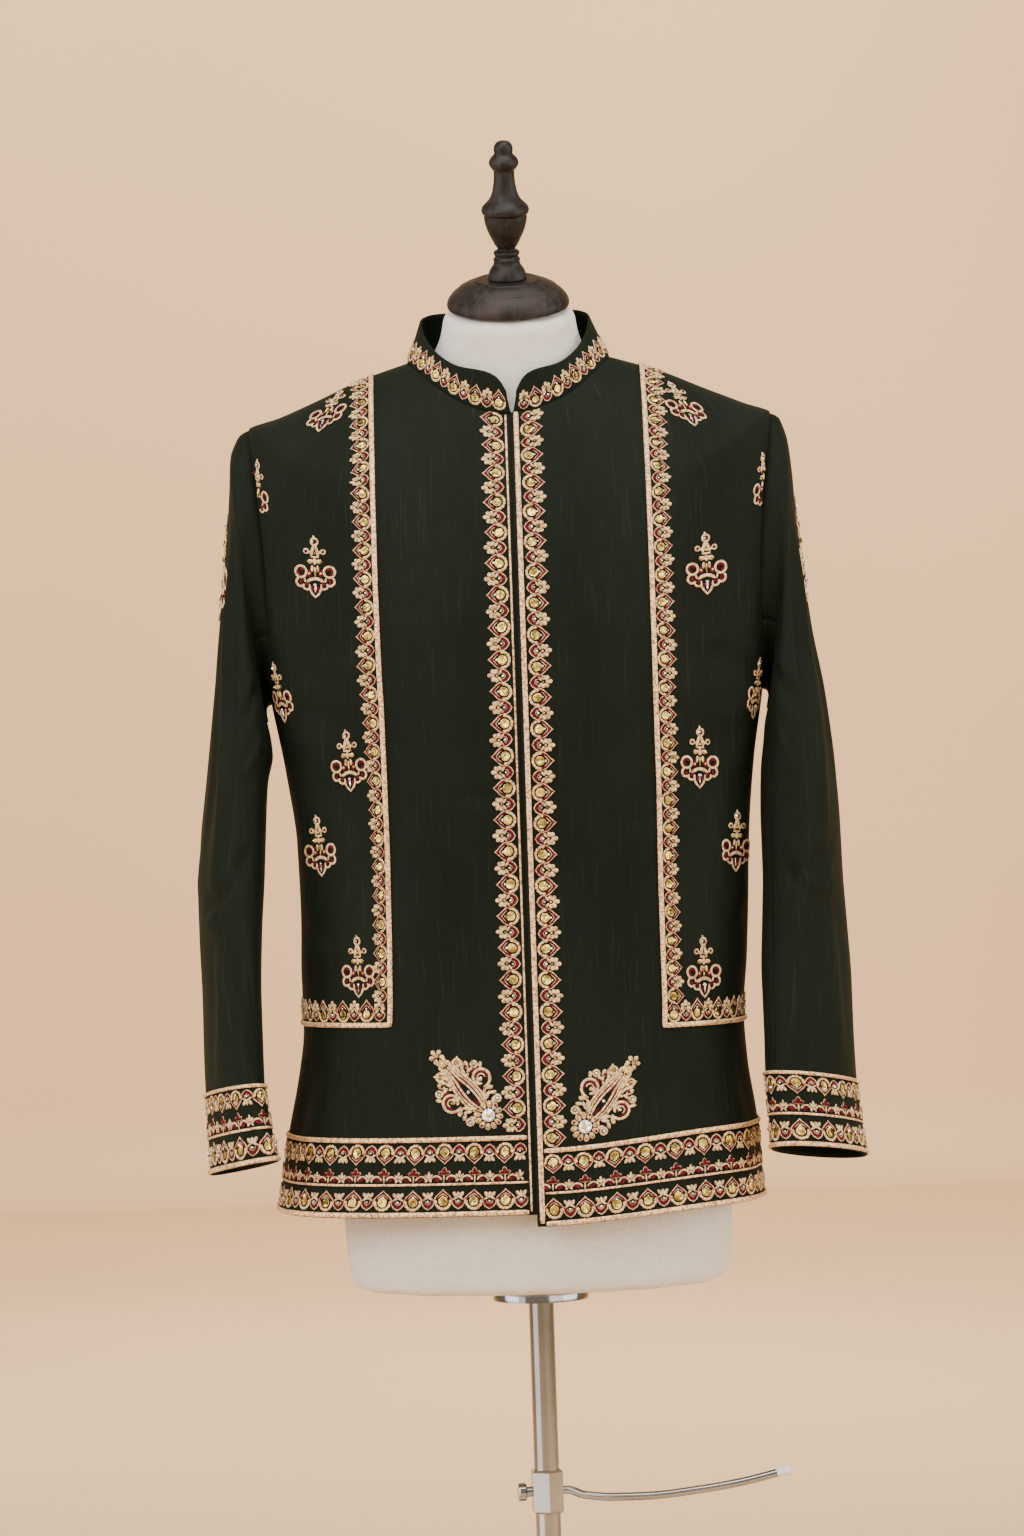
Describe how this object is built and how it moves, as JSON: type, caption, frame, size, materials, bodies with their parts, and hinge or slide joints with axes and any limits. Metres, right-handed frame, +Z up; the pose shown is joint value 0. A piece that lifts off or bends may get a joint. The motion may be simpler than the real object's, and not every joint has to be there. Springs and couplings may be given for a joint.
{
  "type": "bandhgala jacket on a limbless dress form",
  "caption": "Embroidered stand-collar bandhgala jacket with long sleeves, worn by a limbless dress form on a chrome pole stand.",
  "frame": {"origin": "centre of the base plate's underside, on the floor", "axes": "+Z up along the pole, front of the jacket faces -Y, wearer's left is +X"},
  "size_m": [0.5772, 0.33, 1.6602],
  "materials": {
    "raw_silk": "slubbed, slight sheen",
    "embroidery": "gold thread, beads and sequins",
    "linen": "off-white woven cover",
    "dark_wood": "turned, dark stained, worn sheen",
    "chrome": "polished",
    "white_plastic": "matte"
  },
  "bodies": {
    "stand": {"front_right": "raw_silk", "front_left": "raw_silk", "back": "raw_silk", "sleeve_right_top": "raw_silk", "sleeve_right_under": "raw_silk", "sleeve_left_top": "raw_silk", "sleeve_left_under": "raw_silk", "collar": "raw_silk", "border_front_right": "embroidery", "border_front_left": "embroidery", "border_hem_back": "embroidery", "frame_front_right": "embroidery", "frame_front_left": "embroidery", "frame_back_right": "embroidery", "frame_back_left": "embroidery", "border_cuff_right_top": "embroidery", "border_cuff_right_under": "embroidery", "border_cuff_left_top": "embroidery", "border_cuff_left_under": "embroidery", "border_collar": "embroidery", "form_torso": "linen", "neck_cap": "dark_wood", "finial": "dark_wood", "base_plate": "chrome", "pole": "chrome", "pole_socket": "chrome", "bottom_flange": "chrome"},
    "bar": {"bar_bracket": "chrome", "trouser_bar": "chrome", "bar_tip": "white_plastic"},
    "knob": {"bar_knob": "chrome"}
  },
  "joints": [
    {"name": "bracket_height", "type": "slide", "parent": "stand", "child": "bar", "axis": [0, 0, 1], "range_m": [-0.42, 0.12]},
    {"name": "knob_turn", "type": "hinge", "parent": "bar", "child": "knob", "pos_m": [0, 0, 0.487], "axis": [-0.9925, -0.1219, 0], "continuous": true}
  ]
}
